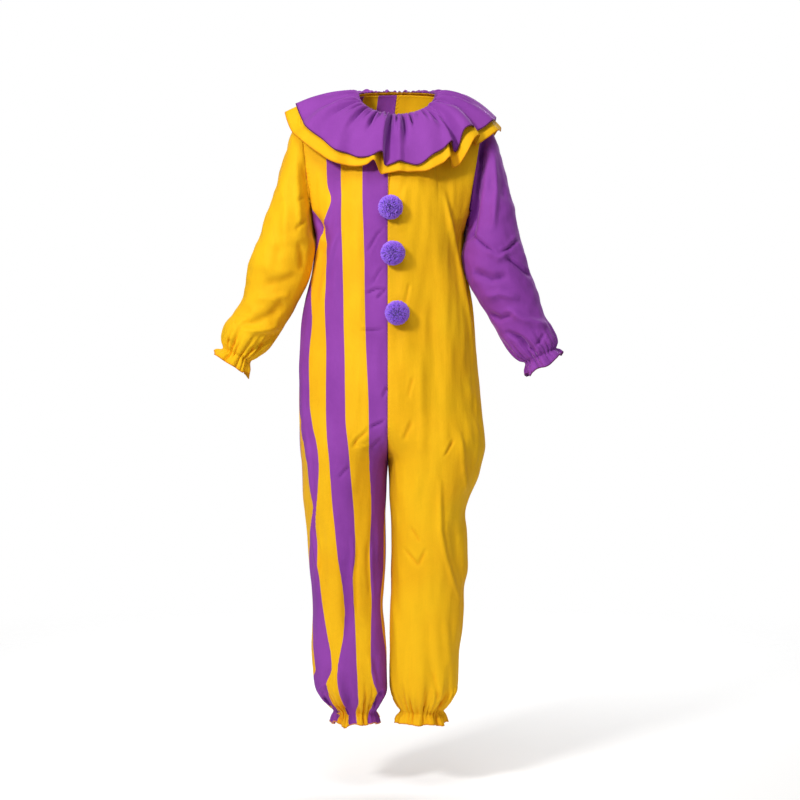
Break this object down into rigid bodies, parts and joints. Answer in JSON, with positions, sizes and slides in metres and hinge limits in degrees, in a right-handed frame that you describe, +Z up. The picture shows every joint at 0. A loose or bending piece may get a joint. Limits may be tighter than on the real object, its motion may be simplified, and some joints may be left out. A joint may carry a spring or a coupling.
{
  "type": "clown jumpsuit",
  "caption": "Loose one-piece clown suit in its worn form, with gathered wrists and ankles, a tiered ruffle collar and pompoms down the front.",
  "frame": {"origin": "in the middle of the suit, between the tops of the shoulders, where it hangs on its wearer", "axes": "+Z up, from the ankles to the neck; the front faces -Y; +X is towards the wearer's left"},
  "size_m": [0.7231, 0.3288, 1.317],
  "materials": {
    "yellow_cloth": "plain woven polyester, softly satin",
    "purple_cloth": "plain woven polyester, softly satin",
    "striped_cloth": "plain woven polyester in vertical purple and yellow stripes; the colour is their average",
    "pompom_yarn": "matte cut yarn"
  },
  "bodies": {
    "root": {"front_right": "striped_cloth", "back_right": "striped_cloth", "front_left": "yellow_cloth", "back_left": "yellow_cloth", "sleeve_right": "yellow_cloth", "sleeve_left": "purple_cloth", "collar_top": "purple_cloth", "collar_under": "yellow_cloth", "pompom_top": "pompom_yarn", "pompom_middle": "pompom_yarn", "pompom_bottom": "pompom_yarn"}
  },
  "joints": []
}
